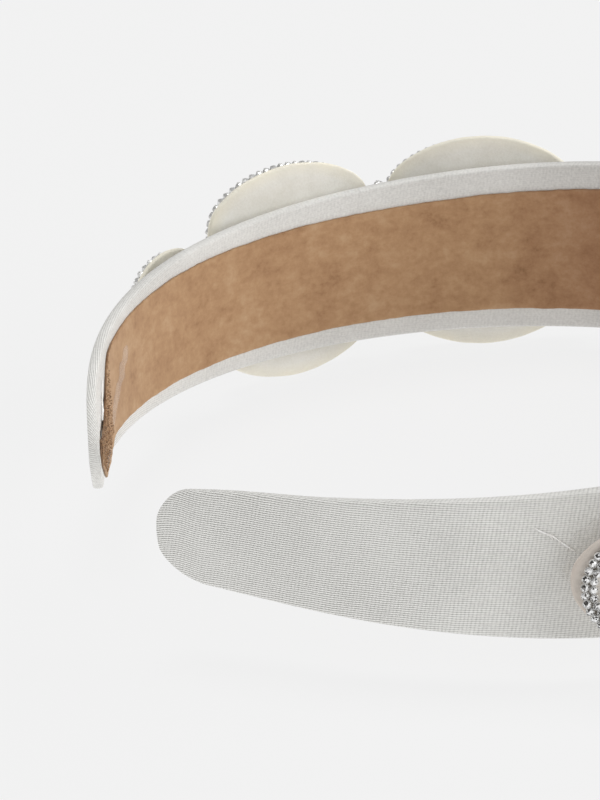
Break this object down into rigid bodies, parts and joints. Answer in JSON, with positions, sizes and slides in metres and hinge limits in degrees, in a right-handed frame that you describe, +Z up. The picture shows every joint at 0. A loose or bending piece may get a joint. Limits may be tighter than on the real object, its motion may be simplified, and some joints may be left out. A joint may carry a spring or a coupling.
{
  "type": "headband",
  "caption": "Wide satin-covered alice band with a suede lining and a row of felt-backed rhinestone medallions, its arms springing open at the sides.",
  "frame": {"origin": "middle of the box of the whole headband, on the surface that its medallions' lower rims stand on", "axes": "+Z up, across the width of the band; +X towards the crown, with the open mouth between the tips at -X; +Y towards the left arm"},
  "size_m": [0.147, 0.1578, 0.0356],
  "materials": {
    "core_plastic": "plain moulded strip, hidden by the satin and the lining",
    "satin": "pale grey-white satin with a fine even weave and a soft sheen",
    "suede": "tan suede-like lining with a short mottled nap",
    "felt": "cream felt with a cut edge",
    "clear_glue": "set hot glue, milky and slightly glossy",
    "silver_cup": "bright silver cup chain that holds the rhinestones",
    "crystal": "clear faceted rhinestones with a mirrored back",
    "pearl": "cream half pearls with a soft lustre"
  },
  "bodies": {
    "crown": {"core_crown": "core_plastic", "felt_backing_crown_1": "felt", "felt_backing_crown_2": "felt", "felt_backing_crown_3": "felt", "glue_pad_crown_1": "clear_glue", "glue_pad_crown_2": "clear_glue", "glue_pad_crown_3": "clear_glue", "half_pearl_crown_1": "pearl", "half_pearl_crown_2": "pearl", "half_pearl_crown_3": "pearl", "rhinestone_chain_crown_1": "silver_cup", "rhinestone_chain_crown_2": "silver_cup", "rhinestone_chain_crown_3": "silver_cup", "satin_cover_crown": "satin", "suede_lining_crown": "suede"},
    "arm_left": {"core_left": "core_plastic", "felt_backing_left_1": "felt", "felt_backing_left_2": "felt", "felt_backing_left_end": "felt", "filler_stone_left_lower": "crystal", "filler_stone_left_upper": "crystal", "glue_pad_left_1": "clear_glue", "glue_pad_left_2": "clear_glue", "glue_pad_left_end": "clear_glue", "half_pearl_left_1": "pearl", "half_pearl_left_2": "pearl", "half_pearl_left_end": "pearl", "rhinestone_chain_left_1": "silver_cup", "rhinestone_chain_left_2": "silver_cup", "rhinestone_chain_left_end": "silver_cup", "satin_cover_left": "satin", "suede_lining_left": "suede"},
    "arm_right": {"core_right": "core_plastic", "felt_backing_right_1": "felt", "felt_backing_right_2": "felt", "felt_backing_right_end": "felt", "filler_stone_right_lower": "crystal", "filler_stone_right_upper": "crystal", "glue_pad_right_1": "clear_glue", "glue_pad_right_2": "clear_glue", "glue_pad_right_end": "clear_glue", "half_pearl_right_1": "pearl", "half_pearl_right_2": "pearl", "half_pearl_right_end": "pearl", "rhinestone_chain_right_1": "silver_cup", "rhinestone_chain_right_2": "silver_cup", "rhinestone_chain_right_end": "silver_cup", "satin_cover_right": "satin", "suede_lining_right": "suede"}
  },
  "joints": [
    {"name": "left_flex", "type": "hinge", "parent": "crown", "child": "arm_left", "pos_m": [0.04435, 0.05053, 0.01781], "axis": [0, 0, -1], "range_deg": [-4, 25], "stiffness_Nm_per_rad": 0.6},
    {"name": "right_flex", "type": "hinge", "parent": "crown", "child": "arm_right", "pos_m": [0.04435, -0.05053, 0.01781], "axis": [0, 0, 1], "range_deg": [-4, 25], "stiffness_Nm_per_rad": 0.6}
  ]
}
